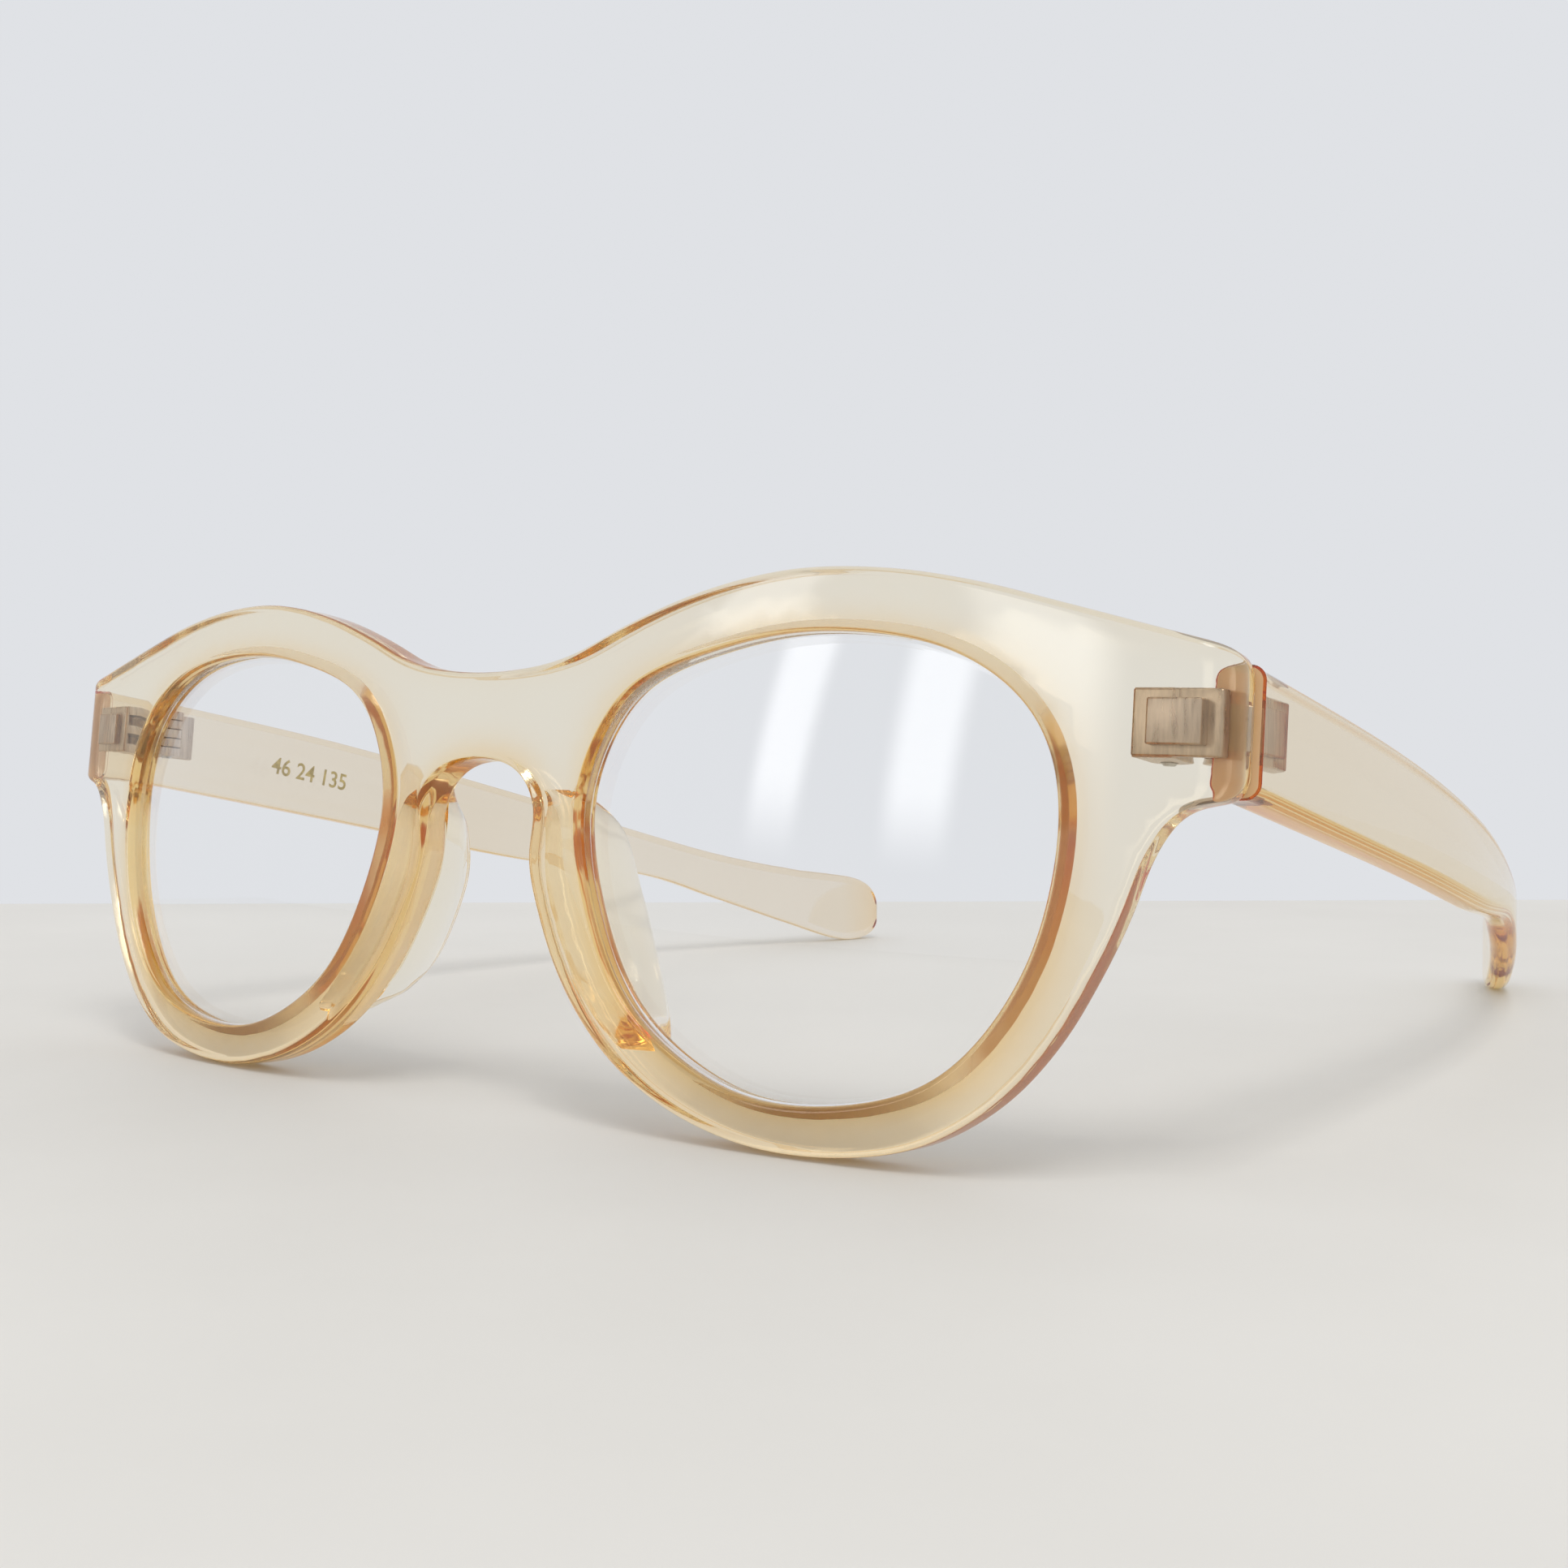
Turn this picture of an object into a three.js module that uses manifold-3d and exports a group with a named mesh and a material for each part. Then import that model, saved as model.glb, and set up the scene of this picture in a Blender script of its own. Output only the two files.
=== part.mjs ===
// Eyeglasses with a thick acetate front: keyhole bridge, bonded nose pads, bevelled lenses,
// two straight temples that curl in at the ear, and two embedded five-knuckle hinges.
// Millimetres. +X is the wearer's left, +Y runs back along the temples and +Z is up.
// The origin is on the table, at the middle of the footprint. Both rims and both temple
// tips stand on the table. The left half is modelled, and the right half is its mirror.
import * as THREE from "three";
import { mergeVertices } from "three/addons/utils/BufferGeometryUtils.js";
import { TessellateModifier } from "three/addons/modifiers/TessellateModifier.js";
import Module from "manifold-3d";

const wasm = await Module();
wasm.setup();

// ---------------------------------------------------------------- driving dimensions

// The front is drawn flat, as across (from the middle), up and depth (behind its front face).
const FRONT = {
  thickness: 4,
  edgeRadius: 0.7,
  bow: 0.00108, // how far the face sweeps back, per square millimetre of across
  lean: THREE.MathUtils.degToRad(6.3), // the top leans back towards the wearer
  cornerRadius: 3.2, // of the end pieces' upright front corners
  longestFacet: 6, // facets are split to this length before the face is bowed
};
// The lower outline, from the bridge's underside round the nose and rim to the end piece.
const LOWER_OUTLINE = [
  [0, 31.2], [4.6, 30.2], [7.2, 27], [7, 22.5], [8.3, 18.4], [11.2, 12.8], [15.2, 8],
  [20, 4.4], [26, 1.8], [33, 0.4], [40.5, 0.6], [47.3, 2.2], [53, 5.8], [57.2, 10.6],
  [60.2, 16], [62.2, 20.6], [63.6, 24.8], [65.6, 27.9], [68, 28.8], [69.6, 28.9],
];
// The brow, from the end piece to the middle of the bridge.
const BROW_OUTLINE = [
  [70.2, 29.6], [70.2, 39.3], [69.6, 39.9], [62.2, 41.9], [55.9, 43.6], [49.3, 45.3],
  [42.3, 46.5], [35, 46.9], [28.7, 46.3], [22.2, 44.8], [16.2, 42.7], [10.9, 40.5], [6, 39.4],
  [0, 39],
];
const BROW_CORNERS = 3; // the first points of the brow are the end piece's straight edge

const LENS = {
  across: 35, // half the distance between the lens centres
  up: 23,
  thickness: 1.8,
  bowAcross: 0.0055, // extra curvature over the front's own
  bowUp: 0.0077,
  edgeDepth: 2.1, // depth of the middle of the bevel
  bevel: 0.75, // how far the bevel's ridge stands out
  bevelHalfWidth: 0.9,
  inset: 0.1, // gap between the lens body and the rim
};
// The opening in the rim, as across and up from the lens centre.
const LENS_OUTLINE = [
  [22.2, 4.2], [19.8, 12], [12.6, 17], [2, 18.7], [-8, 17.6], [-18, 13.9], [-22.5, 5.5],
  [-20.9, -3.8], [-15.6, -12.6], [-6, -18], [4, -18.6], [13.8, -15.3], [20.2, -6.7],
];
const RIM_GROOVE = { depth: 1.1, halfWidth: 1.25, lipRadius: 0.4 };

// Stations down a nose pad: up, nose side across, lens side across, ridge across, ridge depth.
const PAD_STATIONS = [
  [28.6, 6.7, 9.6, 8.2, 4.9], [27.4, 7.3, 11.2, 9.4, 7.1], [25, 7.3, 12.3, 10.3, 9.6],
  [20, 7.9, 13.5, 11.4, 11], [13, 11.3, 17.2, 14.3, 10.8], [9.2, 14.4, 20, 16.8, 9.2],
  [7.4, 16.6, 21.6, 18.7, 6.6], [6.8, 17.6, 21.4, 19.4, 4.7],
];
const PAD_RIDGE_WIDTH = 1.6;
const PAD_STEPS = 18;

// Stations along a temple: back from the end piece, top and bottom above the table.
const TEMPLE_STATIONS = [
  [0, 38.1, 28.3], [31, 32.2, 22.1], [62, 24.9, 15.8], [84, 18.8, 12.5], [98, 15, 8.1],
  [111, 12.2, 3.55], [121, 10.6, 0.24], [128, 9.4, 0.1],
];
const TEMPLE = {
  outside: 70.2, // across, of the outer face at the end piece
  taperIn: 0.026, // the straight stretch closes in by this per millimetre
  straight: 36, // length of the straight stretch
  curl: 16, // how far the end curls in past that line
  curlPower: 2.2,
  length: 128,
  thickness: 4,
  tipThickness: 2.8,
  edgeRadius: 1.2,
  tipFrom: 0.867, // share of the way through the stations where the end starts to round off
  tipPower: 2.5, // 2 would make the rounded end elliptical, more makes it squarer
  tipDrop: 0.2, // how far its rounding is kept to the top
  steps: 34,
  tipSteps: 8,
};

const HINGE = {
  across: 63.3,
  up: 34.7,
  behind: 4, // from the front's back face to the pin
  knuckles: 5,
  height: 5.2,
  knuckleGap: 0.08,
  barrelRadius: 1.5,
  boreRadius: 0.68,
  sides: 28,
  plateHeight: 5,
  anchorHeight: 3.4,
};
// The leaves' plates and anchors as [low, high] outwards and back from the pin.
const FRONT_LEAF = {
  plate: [[-1.5, 4.6], [-5, -3.95]],
  anchor: [[-0.2, 3.8], [-6.4, -4.9]],
};
const TEMPLE_LEAF = {
  plate: [[2.8, 3.9], [-1.8, 5.2]],
  anchor: [[3.8, 5.1], [-0.6, 4]],
};
const SCREW = {
  radius: 0.61,
  headRadius: 1.08,
  headHeight: 0.45,
  slotWidth: 0.3,
  slotDepth: 0.22,
  counterbore: 1.18,
};
const FIT_GAP = 0.12; // left round a piece that is set into another
const BUTT_GAP = 0.15; // between an open temple and the front

// ---------------------------------------------------------------- materials

const ACETATE = { color: 0xe6d8b8, roughness: 0.12, metalness: 0 };
const CLEAR_LENS = { color: 0xeef2f2, roughness: 0.02, metalness: 0, transparent: true, opacity: 0.3 };
const STEEL = { color: 0x8f8a84, roughness: 0.35, metalness: 1 };

// ---------------------------------------------------------------- solids and meshes

function toSolid(geometry) {
  const flat = geometry.index ? geometry.toNonIndexed() : geometry;
  const bare = new THREE.BufferGeometry().setAttribute("position", flat.getAttribute("position"));
  const merged = mergeVertices(bare, 1e-4);
  const vertProperties = new Float32Array(merged.getAttribute("position").array);
  const triVerts = new Uint32Array(merged.index.array);
  return new wasm.Manifold(new wasm.Mesh({ numProp: 3, vertProperties, triVerts }));
}

function toGeometry(solid) {
  const { numProp, vertProperties, triVerts } = solid.getMesh();
  const positions = new Float32Array((vertProperties.length / numProp) * 3);
  for (let i = 0; i < positions.length / 3; i++) {
    positions.set(vertProperties.subarray(i * numProp, i * numProp + 3), i * 3);
  }
  return new THREE.BufferGeometry()
    .setAttribute("position", new THREE.BufferAttribute(positions, 3))
    .setIndex(new THREE.BufferAttribute(new Uint32Array(triVerts), 1));
}

// Turns every face round if a closed, indexed geometry is inside out.
function faceOut(geometry) {
  const index = geometry.index.array;
  const corner = (i) => new THREE.Vector3().fromBufferAttribute(geometry.getAttribute("position"), index[i]);
  let volume = 0;
  for (let i = 0; i < index.length; i += 3) {
    volume += corner(i).dot(corner(i + 1).cross(corner(i + 2)));
  }
  if (volume > 0) return geometry;
  for (let i = 0; i < index.length; i += 3) {
    [index[i + 1], index[i + 2]] = [index[i + 2], index[i + 1]];
  }
  return geometry;
}

function mesh(name, geometry, look) {
  geometry.computeVertexNormals();
  const made = new THREE.Mesh(geometry, new THREE.MeshStandardMaterial(look));
  made.name = name;
  return made;
}

// A box between two [low, high] pairs in plan, centred on z = 0.
function plate([[x0, x1], [y0, y1]], height, grow = 0) {
  const width = x1 - x0 + 2 * grow;
  const depth = y1 - y0 + 2 * grow;
  const box = new THREE.BoxGeometry(width, depth, height + 2 * grow);
  return box.translate((x0 + x1) / 2, (y0 + y1) / 2, 0);
}

// Joins rings of points, all of one length, into a closed skin with a fan at each end.
function loft(rings) {
  const count = rings[0].length;
  const points = rings.flat();
  const faces = [];
  for (let ring = 0; ring < rings.length - 1; ring++) {
    for (let i = 0; i < count; i++) {
      const a = ring * count + i;
      const b = ring * count + ((i + 1) % count);
      faces.push(a, b, b + count, a, b + count, a + count);
    }
  }
  [[0, true], [rings.length - 1, false]].forEach(([ring, first]) => {
    const middle = rings[ring].reduce((sum, p) => sum.add(p), new THREE.Vector3());
    points.push(middle.divideScalar(count));
    const hub = points.length - 1;
    for (let i = 0; i < count; i++) {
      const a = ring * count + i;
      const b = ring * count + ((i + 1) % count);
      faces.push(hub, first ? b : a, first ? a : b);
    }
  });
  return faceOut(new THREE.BufferGeometry().setFromPoints(points).setIndex(faces));
}

// ---------------------------------------------------------------- outlines

function closedOutline(points, count) {
  const corners = points.map(([x, y]) => new THREE.Vector3(x, y, 0));
  const curve = new THREE.CatmullRomCurve3(corners, true, "centripetal");
  return curve.getSpacedPoints(count).slice(0, count).map((p) => new THREE.Vector2(p.x, p.y));
}

// Moves an anticlockwise outline outwards by a distance.
function offset(outline, distance) {
  return outline.map((point, i) => {
    const before = outline.at(i - 1);
    const after = outline[(i + 1) % outline.length];
    const along = after.clone().sub(before).normalize();
    return point.clone().add(new THREE.Vector2(along.y, -along.x).multiplyScalar(distance));
  });
}

function mirrorAndJoin(half) {
  const others = half.filter(([x]) => x > 0).map(([x, y]) => [-x, y]);
  return half[0][0] === 0 ? [...others.reverse(), ...half] : [...half, ...others.reverse()];
}

function spline(points, count) {
  return new THREE.SplineCurve(points.map(([x, y]) => new THREE.Vector2(x, y))).getPoints(count);
}

function frontOutline() {
  const lower = spline(mirrorAndJoin(LOWER_OUTLINE), 128);
  const corners = BROW_OUTLINE.slice(0, BROW_CORNERS - 1);
  const brow = mirrorAndJoin(BROW_OUTLINE.slice(BROW_CORNERS - 1));
  const toVector = ([x, y]) => new THREE.Vector2(x, y);
  const leftCorners = corners.map(toVector);
  const rightCorners = corners.map(([x, y]) => toVector([-x, y])).reverse();
  return new THREE.Shape([...lower, ...leftCorners, ...spline(brow, 64), ...rightCorners]);
}

const LENS_RING = 56;
const lensOutline = closedOutline(LENS_OUTLINE, LENS_RING);

// ---------------------------------------------------------------- the front's own space

const sinLean = Math.sin(FRONT.lean);
const cosLean = Math.cos(FRONT.lean);

// A point of the flat drawing, once the front is bowed and leant back.
function onFront(across, up, depth) {
  const slope = 2 * FRONT.bow * across;
  const stretch = Math.hypot(1, slope);
  const back = FRONT.bow * across ** 2 + depth / stretch;
  return new THREE.Vector3(
    across - (depth * slope) / stretch,
    back * cosLean + up * sinLean,
    up * cosLean - back * sinLean,
  );
}

// Where a line along +Y, at x and z, passes a depth behind the front face.
function backAtDepth(x, z, depth) {
  const stretch = Math.hypot(1, 2 * FRONT.bow * x);
  return (FRONT.bow * x ** 2 + depth * stretch + z * sinLean) / cosLean;
}

// Bends a solid drawn flat, as across, up and depth, into its place.
function bend(geometry) {
  const place = geometry.getAttribute("position");
  for (let i = 0; i < place.count; i++) {
    const point = onFront(place.getX(i), place.getY(i), place.getZ(i));
    place.setXYZ(i, point.x, point.y, point.z);
  }
  return faceOut(geometry);
}

// ---------------------------------------------------------------- front frame

// The opening for a lens: rounded lips, and a V groove at the bevel's depth.
function lensCutter(side) {
  const { depth, halfWidth, lipRadius } = RIM_GROOVE;
  const back = FRONT.thickness;
  const profile = [
    [-1, lipRadius + 0.6], [0, lipRadius], [lipRadius * 0.3, lipRadius * 0.3], [lipRadius, 0],
    [LENS.edgeDepth - halfWidth, 0], [LENS.edgeDepth, depth], [LENS.edgeDepth + halfWidth, 0],
    [back - lipRadius, 0], [back - lipRadius * 0.3, lipRadius * 0.3], [back, lipRadius],
    [back + 1, lipRadius + 0.6],
  ];
  const rings = profile.map(([z, out]) =>
    offset(lensOutline, out).map(
      (p) => new THREE.Vector3(side * (LENS.across + p.x), LENS.up + p.y, z),
    ),
  );
  return loft(rings);
}

// What the rounded upright corner of an end piece takes off, drawn flat.
function cornerCutter(side) {
  const radius = FRONT.cornerRadius;
  const edge = BROW_OUTLINE[0][0];
  const waste = new THREE.Shape();
  waste.moveTo(edge - radius, -1);
  waste.lineTo(edge + 1, -1);
  waste.lineTo(edge + 1, radius);
  waste.lineTo(edge, radius);
  waste.absarc(edge - radius, radius, radius, 0, -Math.PI / 2, true);
  const prism = new THREE.ExtrudeGeometry(waste, { depth: 60, bevelEnabled: false, curveSegments: 8 });
  prism.rotateX(Math.PI / 2).scale(side, -1, 1);
  return faceOut(mergeVertices(prism.deleteAttribute("normal").deleteAttribute("uv"), 1e-4));
}

// The pocket that the front leaf's plate and anchor are sunk into, drawn flat.
function hingePocket(side) {
  const behindFace = FRONT.thickness + HINGE.behind;
  const pieces = [
    plate(FRONT_LEAF.plate, HINGE.plateHeight, FIT_GAP),
    plate(FRONT_LEAF.anchor, HINGE.anchorHeight, FIT_GAP),
  ];
  return pieces.map((piece) => {
    piece.rotateX(Math.PI / 2).translate(HINGE.across, HINGE.up, behindFace);
    return faceOut(piece.scale(side, 1, 1));
  });
}

function frontFrame() {
  const round = FRONT.edgeRadius;
  const slab = new THREE.ExtrudeGeometry(frontOutline(), {
    depth: FRONT.thickness - 2 * round,
    bevelThickness: round,
    bevelSize: round,
    bevelOffset: -round,
    bevelSegments: 3,
  });
  let solid = toSolid(slab.translate(0, 0, round));
  for (const side of [1, -1]) {
    for (const cutter of [lensCutter(side), cornerCutter(side), ...hingePocket(side)]) {
      solid = solid.subtract(toSolid(cutter));
    }
  }
  const split = new TessellateModifier(FRONT.longestFacet, 12).modify(toGeometry(solid));
  split.deleteAttribute("normal");
  return bend(mergeVertices(split, 1e-4));
}

// ---------------------------------------------------------------- lens and nose pad

// A thin meniscus with a bevelled edge, drawn flat about the lens centre.
function lens() {
  const half = LENS.thickness / 2;
  const sag = (x, y) => (LENS.bowAcross * x * x + LENS.bowUp * y * y) / 2;
  const edgeSag = sag(Math.max(...lensOutline.map((p) => p.x)), 0);
  const middleDepth = LENS.edgeDepth - edgeSag;
  const body = offset(lensOutline, -LENS.inset);
  const face = (scale, sign) =>
    body.map(({ x, y }) => {
      const depth = middleDepth + sag(x * scale, y * scale) + sign * half;
      const limit = LENS.edgeDepth + sign * LENS.bevelHalfWidth;
      const held = scale === 1 ? limit : depth;
      return onFront(LENS.across + x * scale, LENS.up + y * scale, held);
    });
  const ridge = offset(lensOutline, LENS.bevel).map(({ x, y }) =>
    onFront(LENS.across + x, LENS.up + y, LENS.edgeDepth),
  );
  const scales = [0.2, 0.4, 0.6, 0.8, 1];
  const front = scales.map((scale) => face(scale, -1));
  const back = scales.map((scale) => face(scale, 1)).reverse();
  return loft([...front, ridge, ...back]);
}

// One bonded pad: a wedge on the back of the nasal rim with a rounded ridge.
function nosePad() {
  const base = FRONT.thickness + FIT_GAP;
  const centre = new THREE.CatmullRomCurve3(
    PAD_STATIONS.map(([up, nose, lensSide]) => new THREE.Vector3(up, nose, lensSide)),
  );
  const ridge = new THREE.CatmullRomCurve3(
    PAD_STATIONS.map(([up, , , across, depth]) => new THREE.Vector3(up, across, depth)),
  );
  const rings = [];
  for (let step = 0; step <= PAD_STEPS; step++) {
    const { x: up, y: nose, z: lensSide } = centre.getPoint(step / PAD_STEPS);
    const { y: across, z: depth } = ridge.getPoint(step / PAD_STEPS);
    const rise = depth - base;
    const width = Math.min(PAD_RIDGE_WIDTH, (lensSide - across) * 0.7);
    const section = [
      [nose, base],
      [nose + (across - nose) * 0.35, base + rise * 0.5],
      [across - 0.4, base + rise * 0.86],
      [across, depth],
      [across + width * 0.6, depth],
      [across + width, base + rise * 0.86],
      [across + width + (lensSide - across - width) * 0.4, base + rise * 0.45],
      [lensSide, base],
    ];
    rings.push(section.map(([x, z]) => onFront(x, up, z)));
  }
  return loft(rings);
}

// ---------------------------------------------------------------- temple

// A rounded rectangle of the given half sizes, as outwards and up from its middle.
function templeSection(halfThickness, halfHeight) {
  const radius = Math.min(TEMPLE.edgeRadius, halfThickness * 0.8, halfHeight * 0.8);
  const corners = [[1, 1, 0], [-1, 1, 1], [-1, -1, 2], [1, -1, 3]];
  return corners.flatMap(([x, y, quarter]) =>
    [0, 1, 2, 3].map((step) => {
      const angle = ((quarter + step / 3) * Math.PI) / 2;
      return [
        x * (halfThickness - radius) + radius * Math.cos(angle),
        y * (halfHeight - radius) + radius * Math.sin(angle),
      ];
    }),
  );
}

// The outer face's distance from the middle, at a distance back from the end piece.
function templeOutside(back) {
  const bent = Math.max(0, (back - TEMPLE.straight) / (TEMPLE.length - TEMPLE.straight));
  return TEMPLE.outside - TEMPLE.taperIn * back - TEMPLE.curl * bent ** TEMPLE.curlPower;
}

function temple(start, table) {
  const top = new THREE.SplineCurve(TEMPLE_STATIONS.map(([y, z]) => new THREE.Vector2(y, z)));
  const bottom = new THREE.SplineCurve(
    TEMPLE_STATIONS.map(([y, , z]) => new THREE.Vector2(y, z)),
  );
  const rings = [];
  const addRing = (part, shrink) => {
    const { x: back, y: high } = top.getPoint(part);
    const low = bottom.getPoint(part).y;
    const slope = templeOutside(back + 0.5) - templeOutside(back - 0.5);
    const outward = new THREE.Vector2(1, -slope).normalize();
    const along = back / TEMPLE.length;
    const thickness = THREE.MathUtils.lerp(TEMPLE.thickness, TEMPLE.tipThickness, along);
    const height = high - low;
    const section = templeSection((thickness / 2) * shrink.thick, (height / 2) * shrink.high);
    const centre = table + low + height / 2 - (height / 2) * shrink.drop;
    const inset = thickness / 2;
    const outside = templeOutside(back);
    rings.push(
      section.map(([out, up]) => {
        const x = outside + (out - inset) * outward.x;
        const y = start + back + (out - inset) * outward.y;
        const z = centre + up;
        return new THREE.Vector3(x, rings.length ? y : buttY(x, z), z);
      }),
    );
  };
  const whole = { thick: 1, high: 1, drop: 0 };
  for (let step = 0; step < TEMPLE.steps; step++) {
    addRing((step / TEMPLE.steps) * TEMPLE.tipFrom, whole);
  }
  for (let step = 0; step <= TEMPLE.tipSteps; step++) {
    const turn = (step / TEMPLE.tipSteps) * 0.97;
    const shrink = (1 - turn ** TEMPLE.tipPower) ** (1 / TEMPLE.tipPower);
    const drop = (1 - shrink) * TEMPLE.tipDrop;
    const part = THREE.MathUtils.lerp(TEMPLE.tipFrom, 1, turn);
    addRing(part, { thick: 0.35 + 0.65 * shrink, high: shrink, drop });
  }
  return loft(rings);
}

// The temple's front end lies a small gap behind the back of the end piece.
function buttY(x, z) {
  return backAtDepth(x, z, FRONT.thickness + BUTT_GAP);
}

// ---------------------------------------------------------------- hinge

// One knuckle in plan: the barrel's circle, with an arm that runs to the plate.
function knuckleShape(reach, height) {
  const radius = HINGE.barrelRadius;
  const shape = new THREE.Shape();
  shape.moveTo(reach, -radius);
  shape.lineTo(reach, radius);
  shape.lineTo(0, radius);
  shape.absarc(0, 0, radius, Math.PI / 2, (3 * Math.PI) / 2, false);
  shape.lineTo(reach, -radius);
  return new THREE.ExtrudeGeometry(shape, {
    depth: height,
    bevelEnabled: false,
    curveSegments: HINGE.sides / 2,
  });
}

function uprightCylinder(radius, bottom, top) {
  const made = new THREE.CylinderGeometry(radius, radius, top - bottom, HINGE.sides);
  return made.rotateX(Math.PI / 2).translate(0, 0, (top + bottom) / 2);
}

const pitch = HINGE.height / HINGE.knuckles;

// A leaf takes every other knuckle. Its arms leave the pin along turn, measured from +X.
function leaf(profile, first, turn, reach) {
  let solid = toSolid(plate(profile.plate, HINGE.plateHeight));
  solid = solid.add(toSolid(plate(profile.anchor, HINGE.anchorHeight)));
  for (let k = first; k < HINGE.knuckles; k += 2) {
    const low = -HINGE.height / 2 + k * pitch + HINGE.knuckleGap / 2;
    const knuckle = knuckleShape(reach, pitch - HINGE.knuckleGap);
    solid = solid.add(toSolid(knuckle.rotateZ(turn).translate(0, 0, low)));
  }
  return solid.subtract(toSolid(uprightCylinder(HINGE.boreRadius, -4, 4)));
}

function frontLeaf() {
  const reach = HINGE.behind + 0.5;
  const top = HINGE.height / 2;
  const counterbore = uprightCylinder(SCREW.counterbore, top - SCREW.headHeight - 0.1, top + 1);
  return toGeometry(leaf(FRONT_LEAF, 0, -Math.PI / 2, reach).subtract(toSolid(counterbore)));
}

function templeLeaf() {
  return toGeometry(leaf(TEMPLE_LEAF, 1, 0, TEMPLE_LEAF.plate[0][0] + 0.5));
}

function screw() {
  const top = HINGE.height / 2 - 0.05;
  const neck = top - SCREW.headHeight + 0.05;
  const shaft = uprightCylinder(SCREW.radius, -HINGE.height / 2 - 0.2, neck + 0.1);
  const head = uprightCylinder(SCREW.headRadius, neck, top);
  const slot = new THREE.BoxGeometry(3, SCREW.slotWidth, 2 * SCREW.slotDepth).translate(0, 0, top);
  return toGeometry(toSolid(shaft).add(toSolid(head)).subtract(toSolid(slot)));
}

// ---------------------------------------------------------------- assembly

const frontGeometry = frontFrame();
frontGeometry.computeBoundingBox();
const table = frontGeometry.boundingBox.min.z;

const pin = onFront(HINGE.across, HINGE.up, FRONT.thickness + HINGE.behind);
const sweep = Math.atan(2 * FRONT.bow * HINGE.across);
const hingeTilt = new THREE.Matrix4().makeRotationX(-FRONT.lean).setPosition(pin);

function pocketedTemple() {
  const middle = table + (TEMPLE_STATIONS[0][1] + TEMPLE_STATIONS[0][2]) / 2;
  let solid = toSolid(temple(buttY(TEMPLE.outside, middle), table));
  for (const [box, height] of [
    [TEMPLE_LEAF.plate, HINGE.plateHeight],
    [TEMPLE_LEAF.anchor, HINGE.anchorHeight],
  ]) {
    solid = solid.subtract(toSolid(plate(box, height, FIT_GAP).applyMatrix4(hingeTilt)));
  }
  return toGeometry(solid);
}

const lensGeometry = lens();
const padGeometry = nosePad();
const templeGeometry = pocketedTemple();
const frontLeafGeometry = frontLeaf();
const templeLeafGeometry = templeLeaf();
const screwGeometry = screw();

const glasses = new THREE.Group();
glasses.add(mesh("front_frame", frontGeometry, ACETATE));
for (const [side, mirror] of [["left", 1], ["right", -1]]) {
  const half = new THREE.Group();
  half.scale.x = mirror;
  half.add(mesh(`lens_${side}`, lensGeometry, CLEAR_LENS));
  half.add(mesh(`nose_pad_${side}`, padGeometry, ACETATE));
  half.add(mesh(`temple_${side}`, templeGeometry, ACETATE));

  const hinge = new THREE.Group();
  hinge.position.copy(pin);
  hinge.rotation.x = -FRONT.lean;
  hinge.add(mesh(`hinge_temple_leaf_${side}`, templeLeafGeometry, STEEL));
  hinge.add(mesh(`hinge_screw_${side}`, screwGeometry, STEEL));
  const frontLeafMesh = mesh(`hinge_front_leaf_${side}`, frontLeafGeometry, STEEL);
  frontLeafMesh.rotation.z = sweep;
  hinge.add(frontLeafMesh);
  half.add(hinge);
  glasses.add(half);
}

// Stand the glasses on z = 0, with the origin at the middle of the footprint.
const bounds = new THREE.Box3().setFromObject(glasses);
glasses.position.set(0, -(bounds.min.y + bounds.max.y) / 2, -bounds.min.z);

export default glasses;
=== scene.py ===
"""Looks for a pair of see-through acetate eyeglasses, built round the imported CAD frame.

Shapes are worked out in millimetres in the drawing's own space, where the front is flat, and
are placed in metres by the CAD boxes. +X is the wearer's left, +Y runs back, +Z is up.
"""

import math

import bmesh
import bpy
import numpy as np
from mathutils import Matrix, Vector
from mathutils.geometry import delaunay_2d_cdt


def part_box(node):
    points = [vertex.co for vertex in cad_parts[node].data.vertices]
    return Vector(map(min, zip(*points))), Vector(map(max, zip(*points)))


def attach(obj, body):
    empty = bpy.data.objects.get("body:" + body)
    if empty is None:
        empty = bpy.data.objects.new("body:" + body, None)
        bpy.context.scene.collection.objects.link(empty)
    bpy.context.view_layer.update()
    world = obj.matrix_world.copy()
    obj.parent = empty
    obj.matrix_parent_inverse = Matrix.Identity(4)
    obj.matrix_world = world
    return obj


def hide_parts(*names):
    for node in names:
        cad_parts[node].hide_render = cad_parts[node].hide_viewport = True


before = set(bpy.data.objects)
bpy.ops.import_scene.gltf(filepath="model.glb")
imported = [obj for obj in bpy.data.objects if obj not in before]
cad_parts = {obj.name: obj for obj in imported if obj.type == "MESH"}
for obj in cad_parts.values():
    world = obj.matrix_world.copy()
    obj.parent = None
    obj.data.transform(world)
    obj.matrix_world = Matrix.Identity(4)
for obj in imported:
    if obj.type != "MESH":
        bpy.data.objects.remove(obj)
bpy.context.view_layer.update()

MM = 0.001

# ---------------------------------------------------------------- driving dimensions, mm

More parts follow.
